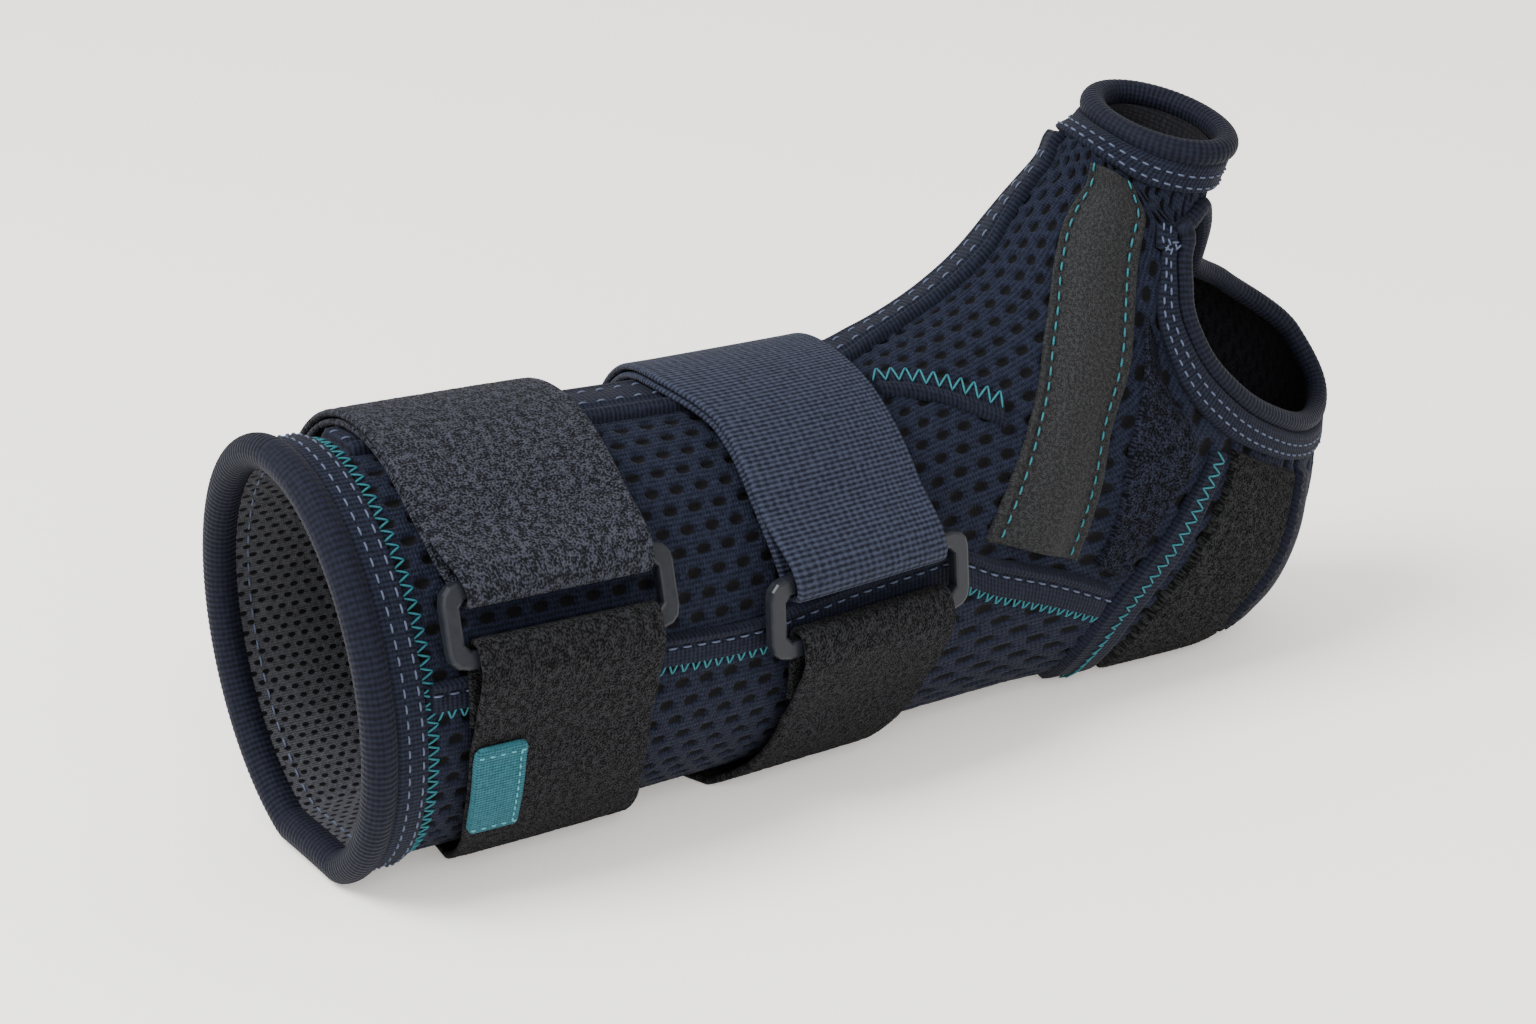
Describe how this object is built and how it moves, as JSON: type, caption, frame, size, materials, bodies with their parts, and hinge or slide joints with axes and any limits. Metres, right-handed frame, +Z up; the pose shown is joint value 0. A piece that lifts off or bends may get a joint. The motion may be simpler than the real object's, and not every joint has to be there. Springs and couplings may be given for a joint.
{
  "type": "thumb spica splint",
  "caption": "Navy knit wrist and thumb spica splint with two ring-and-strap closures, a padded thumb stay and rolled bindings.",
  "frame": {"origin": "centre of the bounding box at floor level, with the splint standing on its little-finger edge", "axes": "+X from the forearm cuff towards the hand, +Z up through the thumb opening, -Y the side with the strap rings and the thumb stay"},
  "size_m": [0.2296, 0.072, 0.1136],
  "materials": {
    "cuff_binding": "matte",
    "cuff_hem": "matte",
    "cuff_strap_lower": "matte",
    "cuff_strap_ring": "satin",
    "cuff_strap_upper": "matte",
    "forearm_sleeve": "matte",
    "hand_hem": "matte",
    "hand_opening_binding": "matte",
    "hand_shell": "matte",
    "loop_pile_panel": "matte",
    "palm_edge_piping": "matte",
    "palm_panel": "matte",
    "palm_seam_tape": "matte",
    "pull_tab": "matte",
    "side_seam_tape": "matte",
    "thumb_binding": "matte",
    "thumb_hem": "matte",
    "thumb_stay_cover": "matte",
    "top_seam_tape": "matte",
    "wrist_seam_tape": "matte",
    "wrist_strap_lower": "matte",
    "wrist_strap_ring": "satin",
    "wrist_strap_upper": "matte"
  },
  "bodies": {
    "root": {"cuff_binding": "cuff_binding", "cuff_hem": "cuff_hem", "cuff_strap_lower": "cuff_strap_lower", "cuff_strap_ring": "cuff_strap_ring", "cuff_strap_upper": "cuff_strap_upper", "forearm_sleeve": "forearm_sleeve", "hand_hem": "hand_hem", "hand_opening_binding": "hand_opening_binding", "hand_shell": "hand_shell", "loop_pile_panel": "loop_pile_panel", "palm_edge_piping": "palm_edge_piping", "palm_panel": "palm_panel", "palm_seam_tape": "palm_seam_tape", "pull_tab": "pull_tab", "side_seam_tape": "side_seam_tape", "thumb_binding": "thumb_binding", "thumb_hem": "thumb_hem", "thumb_stay_cover": "thumb_stay_cover", "top_seam_tape": "top_seam_tape", "wrist_seam_tape": "wrist_seam_tape", "wrist_strap_lower": "wrist_strap_lower", "wrist_strap_ring": "wrist_strap_ring", "wrist_strap_upper": "wrist_strap_upper"}
  },
  "joints": []
}
